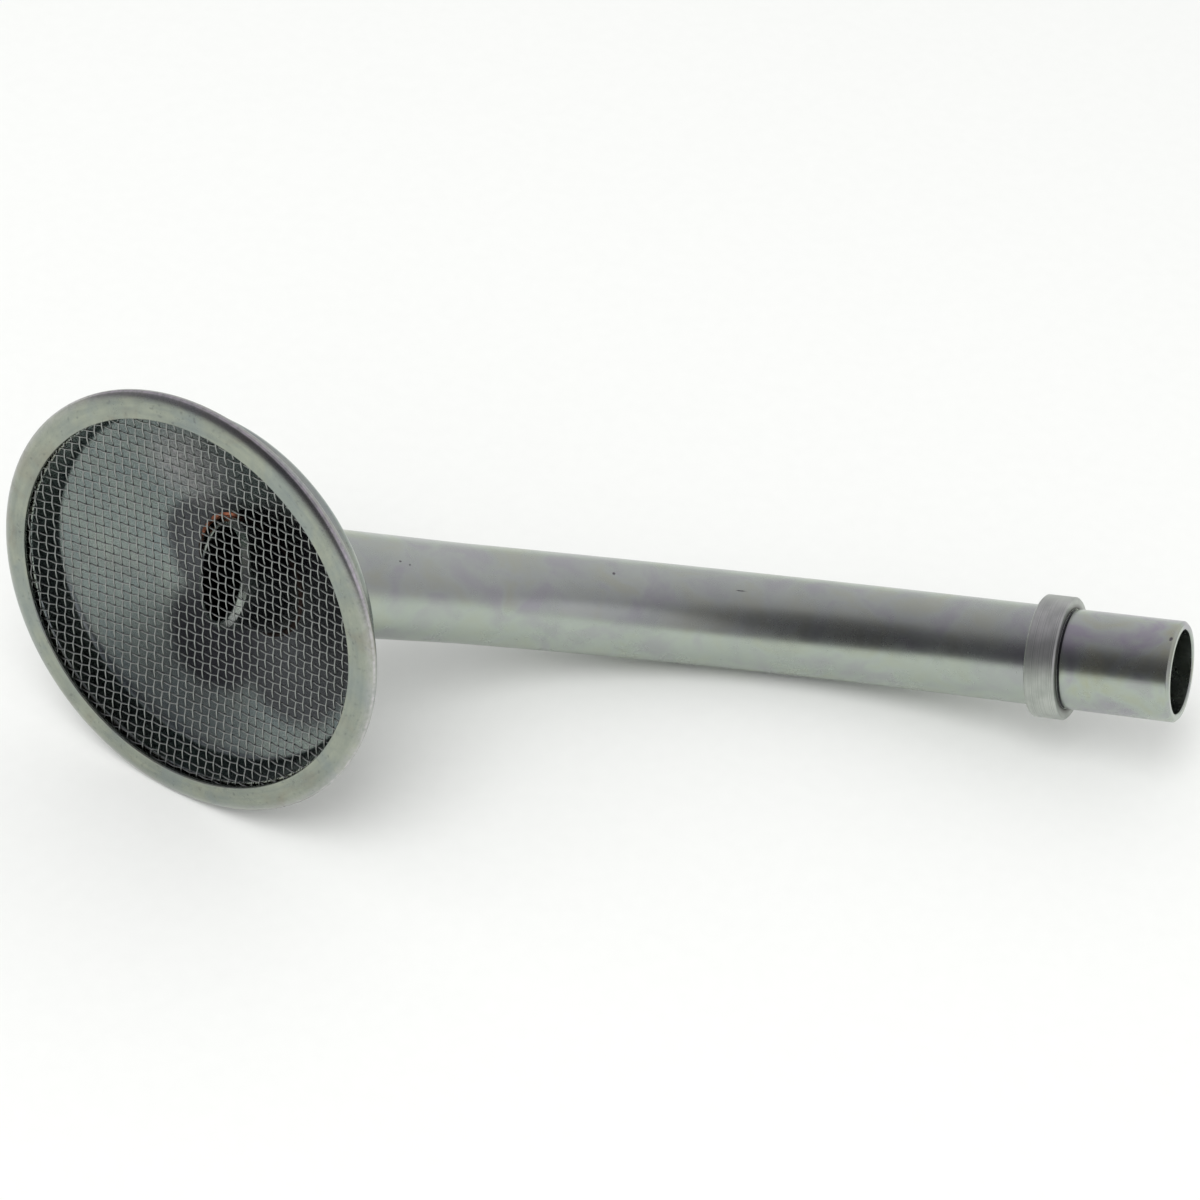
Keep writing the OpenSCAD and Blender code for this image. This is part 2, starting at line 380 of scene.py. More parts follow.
def makePlate(values):
    material, tree, shader = newMaterial("zincPlatedDrawnSteel")
    at = addNode(tree, "ShaderNodeTexCoord")
    field = {}
    for name, size, detail, roughness, swirl in values["fields"]:
        field[name] = addNode(tree, "ShaderNodeTexNoise", {
            "Vector": at.outputs["Object"], "Scale": 1 / (size * mm), "Detail": detail,
            "Roughness": roughness, "Distortion": swirl}).outputs["Fac"]
    along = addNode(tree, "ShaderNodeMapping", {
        "Vector": at.outputs["UV"], "Scale": (1 / values["drawWidth"], 1 / values["drawLength"], 1.0)})
    draw = addNode(tree, "ShaderNodeTexNoise", {"Vector": along.outputs["Vector"], "Scale": 1.0, "Detail": 2.0},
                   noise_dimensions="2D")
    # the cast is stronger on the spigot: yellow where it runs high, violet where it runs low
    apart = addNode(tree, "ShaderNodeSeparateXYZ", {"Vector": at.outputs["UV"]})
    share = addNode(tree, "ShaderNodeMapRange", {
        "Value": apart.outputs["Y"], "From Min": values["spigotEnd"], "From Max": values["spigotEnd"] - 1.0,
        "To Min": values["castShare"], "To Max": values["spigotShare"]}).outputs["Result"]
    tone = addNode(tree, "ShaderNodeMix", {"Factor": field["cloud"], 6: linear(values["dull"]),
                                           7: linear(values["pale"])}, data_type="RGBA").outputs[2]
    for colour, source, none, full in values["casts"]:
        most = share if source == "cast" else values["stain"]
        amount = addNode(tree, "ShaderNodeMapRange", {"Value": field[source], "From Min": none, "From Max": full,
                                                     "To Max": most})
        tone = addNode(tree, "ShaderNodeMix", {"Factor": amount.outputs["Result"], 6: tone,
                                               7: linear(values[colour])}, data_type="RGBA").outputs[2]
    # heat tint near the braze, with painted shade on the end in the pan, in the undercut and down the bore
    heatTintAndShade = addNode(tree, "ShaderNodeAttribute", attribute_name="heatTintAndShade")
    tone = addNode(tree, "ShaderNodeMix", {"Factor": heatTintAndShade.outputs["Fac"], 6: tone, 7: linear(values["burnt"])},
                   data_type="RGBA").outputs[2]
    # each mark is a small dark oval, ragged at its edge
    marked = 0.0
    none, full = values["markEdge"]
    for u, v, wide, tall in values["marks"]:
        near = addNode(tree, "ShaderNodeMapping", {"Vector": at.outputs["UV"], "Scale": (1 / wide, 1 / tall, 0),
                                                   "Location": (-u / wide, -v / tall, 0)})
        reach = addNode(tree, "ShaderNodeVectorMath", {0: near.outputs["Vector"]}, operation="LENGTH")
        ragged = addNode(tree, "ShaderNodeMath", {0: reach.outputs["Value"], 1: field["grain"]}, operation="ADD")
        spot = addNode(tree, "ShaderNodeMapRange", {"Value": ragged.outputs[0], "From Min": none,
                                                   "From Max": full})
        marked = addNode(tree, "ShaderNodeMath", {0: marked, 1: spot.outputs["Result"]},
                         operation="MAXIMUM").outputs[0]
    tone = addNode(tree, "ShaderNodeMix", {"Factor": marked, 6: tone, 7: linear(values["markColour"])},
                   data_type="RGBA").outputs[2]
    height = addNode(tree, "ShaderNodeMix", {"Factor": values["drawShare"], 2: field["grain"],
                                             3: draw.outputs["Fac"]})
    bump = addNode(tree, "ShaderNodeBump", {"Height": height.outputs[0], "Strength": 1.0,
                                            "Distance": values["relief"] * mm})
    dent = addNode(tree, "ShaderNodeBump", {"Height": marked, "Strength": 1.0, "Normal": bump.outputs["Normal"],
                                            "Distance": values["markDepth"] * mm}, invert=True)
    finishMetal(tree, shader, tone, field["patch"], values["rough"], dent.outputs["Normal"])
    return material


plate = makePlate(plateSet)


# where a length along the tube lies, counted from the spigot's end, and which way the tube runs there
def alongTube(s):
    straight = tubeSet["spigot"] + layout["shank"]
    arc = layout["bendRadius"] * bend
    if s <= straight:
        return Vector((tubeSet["spigot"] - s, 0, 0)), 0.0
    turn = min((s - straight) / layout["bendRadius"], bend)
    centre = Vector((-layout["shank"] - layout["bendRadius"] * math.sin(turn), 0,
                     layout["bendRadius"] * (1 - math.cos(turn))))
    rest = max(s - straight - arc, 0.0)
    return centre + Vector((-math.cos(turn), 0, math.sin(turn))) * rest, turn


def legRadius(z):
    share = min(max(z / layout["leg"], 0.0), 1.0)
    return tubeSet["radius"] + (tubeSet["mouthRadius"] - tubeSet["radius"]) * share


def makeTube(values):
    bore = values["radius"] - values["wall"]
    mouthBore = values["mouthRadius"] - values["wall"]
    flareStart = values["spigot"] + layout["shank"] + layout["bendRadius"] * bend
    total = flareStart + layout["leg"]
    outline = softCorners([
        (0, bore + values["boreChamfer"], 0.05),
        (0, values["spigotRadius"] - values["endChamfer"], 0.12),
        (values["endChamfer"], values["spigotRadius"], 0.2),
        (values["spigot"] - values["undercutWidth"], values["spigotRadius"], 0.08),
        (values["spigot"] - values["undercutWidth"], values["spigotRadius"] - values["undercutDepth"], 0.05),
        (values["spigot"], values["spigotRadius"] - values["undercutDepth"], 0.05),
        (values["spigot"], values["radius"], 0.05),
        (flareStart, values["radius"], 6.0),
        (total - values["mouthChamfer"], values["mouthRadius"], 0.2),
        (total, values["mouthRadius"] - values["mouthChamfer"], 0.15),
        (total, mouthBore + values["boreChamfer"], 0.12),
        (total - values["boreChamfer"], mouthBore, 0.1),
        (flareStart, bore, 6.0),
        (values["boreChamfer"], bore, 0.1),
    ])
    rings = []
    for i, point in enumerate(outline):
        gap = outline[(i + 1) % len(outline)] - point
        cuts = max(1, math.ceil(abs(gap.x) / values["step"]))
        for k in range(cuts):
            s, radius = point + gap * (k / cuts)
            centre, turn = alongTube(s)
            side = Vector((0, 1, 0))
            down = Vector((-math.sin(turn), 0, -math.cos(turn)))
            ring = []
            for j in range(values["sides"]):
                a = math.pi / 2 + 2 * math.pi * j / values["sides"]  # the seam lies on the far side
                ring.append(centre + (side * math.cos(a) + down * math.sin(a)) * radius)
            rings.append(ring)

    legFromTube = legFrame.inverted() @ laidFrame

    # burnt near the braze but not on the mouth's edge, and the same colour is painted shade on the end in the
    # pan; painted shade in the undercut and down the bore
    def burnt(p):
        side = values["paintedShadeSide"]
        if -side < p.x < values["undercutWidth"] + side:
            low, high = (values["spigotRadius"] - depth for depth in values["paintedShadeDepth"])
            return ease(math.hypot(p.y, p.z), low, high)
        q = legFromTube @ p
        # painted shade down the bore, fading in from the mouth
        if math.hypot(q.x, q.y) < legRadius(q.z) - values["wall"] * values["boreShadeWall"]:
            return ease(q.z, 0.0, values["boreShadeTo"]) * ease(q.z, layout["leg"], layout["leg"] - values["boreShadeEnd"])
        bare, full = (layout["leg"] - edge for edge in values["burntEnd"])
        return ease(q.z, values["burntFrom"], values["burntTo"]) * ease(q.z, bare, full)

    return ringPiece("suctionTube", rings, laidFrame, 2 * math.pi * values["radius"], plate, {"heatTintAndShade": burnt})


tube = makeTube(tubeSet)
handOver(tube, "suction_tube")
print("suction tube:", len(tube.data.polygons), "faces")


# turned mild steel: matt grey with the tool's lines running round it, darkened by painted shade where the collar
# meets the tube
turnedSet = {
    # the darkest colour here is painted shade where the collar meets the tube
    "pale": "#BFC3BD", "dull": "#9A9F99", "paintedShade": "#5E5D58",
    "line": 0.17, "cloud": 4.0,  # mm; the lines are drawn coarser than a real feed of 0.1
    "spread": (0.12, 0.38), "rough": (0.34, 0.48), "relief": 0.05, "reliefShare": 0.8,
}


def makeTurned(values):
    material, tree, shader = newMaterial("turnedMildSteel")
    at = addNode(tree, "ShaderNodeTexCoord")
    apart = addNode(tree, "ShaderNodeSeparateXYZ", {"Vector": at.outputs["UV"]})
    feed = addNode(tree, "ShaderNodeTexNoise", {"W": apart.outputs["Y"], "Scale": 1 / values["line"],
                                                "Detail": 2.0}, noise_dimensions="1D")
    cloud = addNode(tree, "ShaderNodeTexNoise", {"Vector": at.outputs["Object"], "Detail": 3.0,
                                                 "Scale": 1 / (values["cloud"] * mm)})
    shade = addNode(tree, "ShaderNodeMath", {0: feed.outputs["Fac"], 1: cloud.outputs["Fac"]},
                    operation="MULTIPLY")
    low, high = values["spread"]
    spread = addNode(tree, "ShaderNodeMapRange", {"Value": shade.outputs[0], "From Min": low, "From Max": high})
    base = addNode(tree, "ShaderNodeMix", {"Factor": spread.outputs["Result"], 6: linear(values["dull"]),
                                           7: linear(values["pale"])}, data_type="RGBA")
    # painted shade on the front face, where the collar meets the spigot
    paintedShade = addNode(tree, "ShaderNodeAttribute", attribute_name="paintedShade")
    tone = addNode(tree, "ShaderNodeMix", {"Factor": paintedShade.outputs["Fac"], 6: base.outputs[2],
                                           7: linear(values["paintedShade"])}, data_type="RGBA")
    bump = addNode(tree, "ShaderNodeBump", {"Height": feed.outputs["Fac"], "Strength": values["reliefShare"],
                                            "Distance": values["relief"] * mm})
    finishMetal(tree, shader, tone.outputs[2], feed.outputs["Fac"], values["rough"], bump.outputs["Normal"])
    return material


collarSet = {
    "radius": 11.0, "bore": 9.02, "width": 5.5, "chamfer": 0.3, "boreChamfer": 0.1, "sides": 192,
    # painted shade on the collar's front face: how far out from the tube, and how deep in from the shoulder
    "paintedShadeReach": 0.9, "paintedShadeDepth": (0.3, 0.1),  # out from the tube, and in from the shoulder
}


def makeCollar(values, material):
    outer, inner, width = values["radius"], values["bore"], values["width"]
    cut, bite = values["chamfer"], values["boreChamfer"]
    outline = softCorners([
        (inner + bite, 0, 0.04), (inner + bite + values["paintedShadeReach"], 0, 0), (outer - cut, 0, 0.06),
        (outer, -cut, 0.06), (outer, -width + cut, 0.06),
        (outer - cut, -width, 0.06), (inner + bite, -width, 0.04), (inner, -width + bite, 0.04),
        (inner, -bite, 0.04),
    ])
    turns = [2 * math.pi * j / values["sides"] for j in range(values["sides"])]
    rings = [[Vector((r * math.cos(a), r * math.sin(a), z)) for a in turns] for r, z in outline]

    # painted shade next to the tube on the collar's front face
    def paintedShadeShare(p):
        low, high = (-depth for depth in values["paintedShadeDepth"])
        return ease(math.hypot(p.x, p.y), inner + values["paintedShadeReach"], inner) * ease(p.z, low, high)

    return ringPiece("stopCollar", rings, spigotFrame, 2 * math.pi * outer, material, {"paintedShade": paintedShadeShare})


collar = makeCollar(collarSet, makeTurned(turnedSet))
handOver(collar, "stop_collar")
print("stop collar:", len(collar.data.polygons), "faces")


# zinc plated pressed sheet: satin and blotched, yellow-green to blue-grey and cooler inside the pan, wiped a
# little round the rim by the press tool, rubbed bright along the crease and burnt dark round the braze; painted
# shade darkens spots of the pan's inside and the underside of the turned edge, and a painted light patch
# brightens the pan's inside
sheetSet = {
    "pale": "#A1A697", "dull": "#868D87", "blue": "#848F93", "brown": "#857C6E", "dark": "#626566",
    # the burnt colour is heat tint and also painted shade; the rubbed colour is wear and also a painted light
    # patch
    "burnt": "#55575A", "wearAndPaintedLight": "#C3C1C2", "inner": "#8699A0",
    "fields": [                    # noise: name, size in mm, detail, roughness, swirl
        ("cloud", 7.0, 6.0, 0.68, 0.0),
        ("cast", 12.0, 4.0, 0.6, 0.8),
        ("speck", 0.8, 2.0, 0.5, 0.0),
        ("grain", 0.3, 2.0, 0.5, 0.0),
    ],
    "casts": [                     # colour, the noise that it follows, where that gives none and all, share
        ("blue", "cast", 0.50, 0.36, 0.38),
        ("brown", "cast", 0.56, 0.70, 0.45),
        ("dark", "speck", 0.62, 0.74, 0.5),
    ],
    "innerShare": 0.38, "burntEdge": 0.8, "burntSpan": (0.576, 1.3), "rubSpan": (0.34, 0.66), "rubLeast": 0.4,
    "wipeLong": 9.0, "wipeWide": 0.9, "wipeShare": 0.35, "wipeRelief": 0.4,  # mm, and shares
    "spread": (0.32, 0.66), "rough": (0.30, 0.19), "relief": 0.010,
}


def makeSheet(values):
    material, tree, shader = newMaterial("zincPlatedPressedSheet")
    at = addNode(tree, "ShaderNodeTexCoord")
    field = {}
    for name, size, detail, roughness, swirl in values["fields"]:
        field[name] = addNode(tree, "ShaderNodeTexNoise", {
            "Vector": at.outputs["Object"], "Scale": 1 / (size * mm), "Detail": detail,
            "Roughness": roughness, "Distortion": swirl}).outputs["Fac"]
    along = addNode(tree, "ShaderNodeMapping", {
        "Vector": at.outputs["UV"], "Scale": (1 / values["wipeLong"], 1 / values["wipeWide"], 1.0)})
    wipe = addNode(tree, "ShaderNodeTexNoise", {"Vector": along.outputs["Vector"], "Scale": 1.0, "Detail": 3.0},
                   noise_dimensions="2D")
    blotch = addNode(tree, "ShaderNodeMix", {"Factor": values["wipeShare"], 2: field["cloud"],
                                             3: wipe.outputs["Fac"]})
    low, high = values["spread"]
    spread = addNode(tree, "ShaderNodeMapRange", {"Value": blotch.outputs[0], "From Min": low, "From Max": high})
    tone = addNode(tree, "ShaderNodeMix", {"Factor": spread.outputs["Result"], 6: linear(values["dull"]),
                                           7: linear(values["pale"])}, data_type="RGBA").outputs[2]
    tint = {name: addNode(tree, "ShaderNodeAttribute", attribute_name=name).outputs["Fac"]
            for name in ("inside", "heatTintAndShade", "wearAndPaintedLightShare")}
    # how much of each colour lies over the last, from the blotches and from the funnel's own tints
    layer = {}
    for colour, source, none, full, most in values["casts"]:
        layer[colour] = addNode(tree, "ShaderNodeMapRange", {"Value": field[source], "From Min": none,
                                                            "From Max": full, "To Max": most}).outputs["Result"]
    layer["inner"] = addNode(tree, "ShaderNodeMath", {0: tint["inside"], 1: values["innerShare"]},
                             operation="MULTIPLY").outputs[0]
    # the burnt colour, heat tint and painted shade, ends in an uneven edge, and what is rubbed, wear and the
    # painted light patch, is broken up
    uneven = addNode(tree, "ShaderNodeMath", {0: field["cloud"], 1: values["burntEdge"], 2: tint["heatTintAndShade"]},
                     operation="MULTIPLY_ADD")
    none, full = values["burntSpan"]
    layer["burnt"] = addNode(tree, "ShaderNodeMapRange", {"Value": uneven.outputs[0], "From Min": none,
                                                         "From Max": full}).outputs["Result"]
    none, full = values["rubSpan"]
    broken = addNode(tree, "ShaderNodeMapRange", {"Value": field["speck"], "From Min": none, "From Max": full,
                                                 "To Min": values["rubLeast"]})
    layer["wearAndPaintedLight"] = addNode(tree, "ShaderNodeMath", {0: tint["wearAndPaintedLightShare"], 1: broken.outputs["Result"]},
                              operation="MULTIPLY").outputs[0]
    for colour in ("blue", "brown", "inner", "dark", "burnt", "wearAndPaintedLight"):
        tone = addNode(tree, "ShaderNodeMix", {"Factor": layer[colour], 6: tone, 7: linear(values[colour])},
                       data_type="RGBA").outputs[2]
    height = addNode(tree, "ShaderNodeMix", {"Factor": values["wipeRelief"], 2: field["grain"],
                                             3: wipe.outputs["Fac"]})
    bump = addNode(tree, "ShaderNodeBump", {"Height": height.outputs[0], "Strength": 1.0,
                                            "Distance": values["relief"] * mm})
    finishMetal(tree, shader, tone, field["cloud"], values["rough"], bump.outputs["Normal"])
    return material


# pressed funnel: one sheet, its edge turned over as a lip that grips the gauze
funnelSet = {
    "rim": 38.73,                  # a hair under the 77.5 mm rim, whose facets in the frame cut the curve
    "lip": 33.95, "sheet": 0.85, "slot": 0.7, "wall": 32.95, "entry": 0.4, "depth": 8.3, "corner": 1.5,
    "slope": 22.0,                 # degrees
    "crown": 2.9, "crease": 0.1, "creaseHalf": 0.14, "lipEdge": 0.25, "backFillet": 0.5, "guard": 0.3,
    "brazeGap": 0.05, "sides": 288, "floorSteps": 28,
    # painted shade spots over the pan's inside
    "paintedShadeSpots": [                # inside: across, up, full within, none past
        (12.0, 6.0, 14.0, 22.0),
        (17.0, -3.0, 10.0, 16.0),
        (3.0, -13.0, 8.0, 12.5),
    ],
    # a painted light patch inside the pan
    "paintedLightSpot": (-15.0, 13.0, 3.0, 11.0),                   # inside, the same way
    "burntRing": (2.6, 4.6), "burntBehind": (0.5, 13.0),    # out from the tube: full within, none past
    "rubBands": [(0.6, 0.1, 0.4), (0.4, 0.4, 2.0)],         # share, then from the crease: full within, none past
    # painted shade under the turned edge
    "underFoldShade": 0.7, "underFoldShadeReach": 0.3, "underFoldShadeFrom": (0.5, 0.75),  # behind the turned edge, shares of its depth
    "innerFade": 0.5,
}
slope = math.radians(funnelSet["slope"])
hem = 2 * funnelSet["sheet"] + funnelSet["slot"]
hemRadius = funnelSet["rim"] - hem / 2
cornerR = funnelSet["wall"] - funnelSet["corner"]
cornerZ = funnelSet["corner"] * (1 / math.cos(slope) - math.tan(slope)) - funnelSet["depth"]


def footOf(grow):
    size = funnelSet["corner"] + grow
    return cornerR + size * math.sin(slope), cornerZ - size * math.cos(slope)


def floorZ(r, grow):
    footR, footZ = footOf(grow)
    return footZ - (footR - r) * math.tan(slope)


def halve(test, low, high):
    for _ in range(50):
        middle = (low + high) / 2
        low, high = (middle, high) if test(middle) < 0 else (low, middle)
    return (low + high) / 2


# how far from the funnel's axis the tube's leg comes through the floor, in a direction
def holeRadius(angle, grow):
    def past(r):
        p = rimToLeg @ Vector((r * math.cos(angle), r * math.sin(angle), floorZ(r, grow)))
        return math.hypot(p.x, p.y) - legRadius(p.z) - funnelSet["brazeGap"]
    return halve(past, 0.0, footOf(grow)[0])


def arcPoints(centreR, centreZ, size, start, end, steps):
    turns = [math.radians(start + (end - start) * k / steps) for k in range(steps + 1)]
    return [(centreR + size * math.cos(a), centreZ + size * math.sin(a)) for a in turns]


def makeFunnel(values, material):
    sheetT, lip, guard = values["sheet"], values["lip"], values["guard"]
    flangeZ = sheetT - hem
    turns = [2 * math.pi * j / values["sides"] for j in range(values["sides"])]
    # from the pan's corner inside, out over the lip and round the back to the corner outside
    shell = arcPoints(cornerR, cornerZ, values["corner"], -90 + values["slope"], 0, 8)
    shell += arcPoints(lip, flangeZ - values["entry"], values["entry"], 180, 90, 8)
    shell += arcPoints(hemRadius, -hem / 2, values["slot"] / 2, -90, 90, 6)
    edge = values["lipEdge"]
    shell += [(lip + edge * 1.5, -sheetT)] + arcPoints(lip + edge, -sheetT + edge, edge, 270, 180, 4)
    shell += arcPoints(lip + edge, -edge, edge, 180, 90, 5) + [(lip + edge * 1.5, 0)]
    fold = hem / 2
    dent = math.degrees(values["creaseHalf"] / fold)
    middle = math.degrees(math.asin((fold - sheetT) / fold))
    # the lip is crowned: it falls away softly from its flat to the rounded edge
    crownR = values["rim"] - values["crown"]
    flatten = values["crown"] / fold
    crown = arcPoints(0, 0, fold, 90, middle + dent, 20)
    shell += [(crownR - guard, 0)] + [(crownR + r * flatten, z - fold) for r, z in crown]
    shell += arcPoints(hemRadius, -fold, fold - values["crease"], middle + 1, middle - 1, 1)
    shell += arcPoints(hemRadius, -fold, fold, middle - dent, -90, 16) + [(hemRadius - guard, -hem)]
    back, fillet = lip - values["entry"] + sheetT, values["backFillet"]
    shell += arcPoints(back + fillet, -hem - fillet, fillet, 90, 180, 4)
    shell += arcPoints(cornerR, cornerZ, values["corner"] + sheetT, 0, -90 + values["slope"], 10)
    rings = [[Vector((r * math.cos(a), r * math.sin(a), z)) for a in turns] for r, z in shell]
    # floor outside down to the hole, then back up inside
    for grow, order in ((sheetT, 1), (0.0, -1)):
        footR = footOf(grow)[0]
        holes = [holeRadius(a, grow) for a in turns]
        shares = [k / values["floorSteps"] for k in range(1, values["floorSteps"] + 1)][::order]
        for share in shares:
            ring = []
            for a, hole in zip(turns, holes):
                r = footR + (hole - footR) * share
                ring.append(Vector((r * math.cos(a), r * math.sin(a), floorZ(r, grow))))
            rings.append(ring)

    # 1 on the faces that hold the oil, 0 on the lip and behind
    def within(p):
        r = math.hypot(p.x, p.y)
        return ease(r, lip, lip - values["innerFade"]) if p.z > floorZ(r, sheetT / 2) else 0.0

    # heat tint round the braze and on the back, painted shade in spots over the pan's inside and under the
    # turned edge
    def burnt(p):
        q = rimToLeg @ p
        gap = math.hypot(q.x, q.y) - legRadius(q.z)
        full, none = values["burntRing"]
        ring = ease(gap, none, full)
        inner = within(p)
        if inner:
            clean = 1.0  # the spots run into each other softly
            # each spot is painted shade
            for x, y, near, far in values["paintedShadeSpots"]:
                clean *= 1 - ease(math.hypot(p.x - x, p.y - y), far, near)
            heatAndPaintedShade = inner * (1 - clean)
        else:
            full, none = values["burntBehind"]
            heatAndPaintedShade = ease(gap, none, full)
        # painted shade on the underside of the turned edge
        low, high = (-part * hem for part in values["underFoldShadeFrom"])
        under = ease(math.hypot(p.x, p.y), hemRadius, hemRadius + values["underFoldShadeReach"]) * ease(p.z, low, high)
        return max(ring, heatAndPaintedShade, under * values["underFoldShade"])

    # wear along the crease, and a painted light patch inside the pan
    def wearAndPaintedLight(p):
        away = math.hypot(math.hypot(p.x, p.y) - values["rim"], p.z + sheetT)
        edge = sum(share * ease(away, far, near) for share, near, far in values["rubBands"])
        x, y, near, far = values["paintedLightSpot"]
        return max(edge, within(p) * ease(math.hypot(p.x - x, p.y - y), far, near))

    return ringPiece("strainerFunnel", rings, rimFrame, 2 * math.pi * hemRadius, material,
                     {"heatTintAndShade": burnt, "wearAndPaintedLightShare": wearAndPaintedLight, "inside": within})


sheetMetal = makeSheet(sheetSet)
funnel = makeFunnel(funnelSet, sheetMetal)
handOver(funnel, "strainer_funnel")
print("strainer funnel:", len(funnel.data.polygons), "faces")


# copper braze: bright where the torch fed it in, burnt to a dull brown the rest of the way round
brazeLook = {
    "bright": "#BF7B60", "burnt": "#332A27", "patch": 1.6, "grain": 0.25, "relief": 0.03,  # mm
    "rough": (0.55, 0.3),
    "fedAt": 19.5, "fedSpread": 6.5, "fedCore": 0.5,  # mm round the tube, and the share at full
    "mottle": (0.35, 0.6), "mottleLeast": 0.25,
}


def makeCopper(values):
    material, tree, shader = newMaterial("runCopperBraze")
    at = addNode(tree, "ShaderNodeTexCoord")
    patch = addNode(tree, "ShaderNodeTexNoise", {"Vector": at.outputs["Object"], "Detail": 4.0, "Roughness": 0.6,
                                                 "Scale": 1 / (values["patch"] * mm)})
    grain = addNode(tree, "ShaderNodeTexNoise", {"Vector": at.outputs["Object"],
                                                 "Scale": 1 / (values["grain"] * mm)})
    apart = addNode(tree, "ShaderNodeSeparateXYZ", {"Vector": at.outputs["UV"]})
    away = addNode(tree, "ShaderNodeMath", {0: apart.outputs["X"], 1: values["fedAt"]}, operation="SUBTRACT")
    far = addNode(tree, "ShaderNodeMath", {0: away.outputs[0]}, operation="ABSOLUTE")
    fed = addNode(tree, "ShaderNodeMapRange", {"Value": far.outputs[0], "From Min": values["fedSpread"],
                                              "From Max": values["fedSpread"] * values["fedCore"]},
                  interpolation_type="SMOOTHSTEP")
    low, high = values["mottle"]
    mottle = addNode(tree, "ShaderNodeMapRange", {"Value": patch.outputs["Fac"], "From Min": low,
                                                 "From Max": high, "To Min": values["mottleLeast"]})
    burn = addNode(tree, "ShaderNodeMath", {0: fed.outputs["Result"], 1: mottle.outputs["Result"]},
                   operation="MULTIPLY")
    base = addNode(tree, "ShaderNodeMix", {"Factor": burn.outputs[0], 6: linear(values["burnt"]),
                                           7: linear(values["bright"])}, data_type="RGBA")
    bump = addNode(tree, "ShaderNodeBump", {"Height": grain.outputs["Fac"], "Distance": values["relief"] * mm})
    finishMetal(tree, shader, base.outputs[2], patch.outputs["Fac"], values["rough"], bump.outputs["Normal"])
    return material


# braze fillets: a hollow ring of copper on each side of the floor, wider where more of it ran
brazeSet = {
    "width": 0.9, "height": 0.6, "ripple": 0.2, "fed": 0.6, "hollow": 0.3, "overMouth": 0.3,
    "sink": 0.02, "rootDepth": 0.3,  # mm into the metal, and how far the hidden root goes in as a share
    "sides": 144, "steps": 7,
}


def makeBraze(values, material, name, grow, outward):
    def onFloor(p):
        return Vector((p.x, p.y, floorZ(math.hypot(p.x, p.y), grow)))

    rings = [[] for _ in range(values["steps"] + 2)]
    for j in range(values["sides"]):
        a = 2 * math.pi * j / values["sides"]
        fed = ease(abs(a * tubeSet["mouthRadius"] - brazeLook["fedAt"]), brazeLook["fedSpread"], 0.0)
        more = 1 + values["ripple"] * math.sin(3 * a + 0.6) * math.cos(2 * a) + values["fed"] * fed

        def onTube(z, clear=0.0):
            r = legRadius(z) + clear
            return legToRim @ Vector((r * math.cos(a), r * math.sin(a), z))

        def above(z):
            p = onTube(z)
            return p.z - floorZ(math.hypot(p.x, p.y), grow)

        root = halve(above, 5.0, layout["leg"] + 2)
        highest = layout["leg"] + values["overMouth"]
        top = onTube(min(root + outward * values["height"] * more, highest), -values["sink"])
        toe = onTube(root, values["width"] * more)
        toe = onFloor(toe) + Vector((0, 0, -values["sink"] * outward))
        heel = onFloor(onTube(root))
        pull = heel.lerp((top + toe) / 2, values["hollow"])
        for k in range(values["steps"] + 1):
            t = k / values["steps"]
            rings[k].append(top * (1 - t) ** 2 + pull * 2 * t * (1 - t) + toe * t ** 2)
        rings[-1].append(heel + (heel - (top + toe) / 2) * values["rootDepth"])
    return ringPiece(name, rings, rimFrame, 2 * math.pi * tubeSet["mouthRadius"], material)


copper = makeCopper(brazeLook)
for brazeName, growth, facing in (("brazeInside", 0.0, 1), ("brazeOutside", funnelSet["sheet"], -1)):
    braze = makeBraze(brazeSet, copper, brazeName, growth, facing)
    handOver(braze, "braze_joint")
print("braze done")


# drawn steel wire: bright but fine scratched, each wire catching its own light
wireSet = {"pale": "#AEB1AD", "dull": "#878B88", "change": 5.0, "rough": (0.26, 0.42)}


def makeWire(values):
    material, tree, shader = newMaterial("drawnSteelWire")
    at = addNode(tree, "ShaderNodeTexCoord")
    change = addNode(tree, "ShaderNodeTexNoise", {"Vector": at.outputs["Object"], "Detail": 4.0,
                                                  "Scale": 1 / (values["change"] * mm)})
    base = addNode(tree, "ShaderNodeMix", {"Factor": change.outputs["Fac"], 6: linear(values["dull"]),
                                           7: linear(values["pale"])}, data_type="RGBA")
    finishMetal(tree, shader, base.outputs[2], change.outputs["Fac"], values["rough"])
    return material


# gauze: a plain weave, each wire over one and under the next, dished a little and held under the lip
gauzeSet = {
    "Pitch": 1.68, "Wire": 0.28, "Reach": 37.2, "Lip": 33.95, "Sag": 2.5, "Level": -1.2,  # mm
    "Turn": 28.0,                  # degrees
}


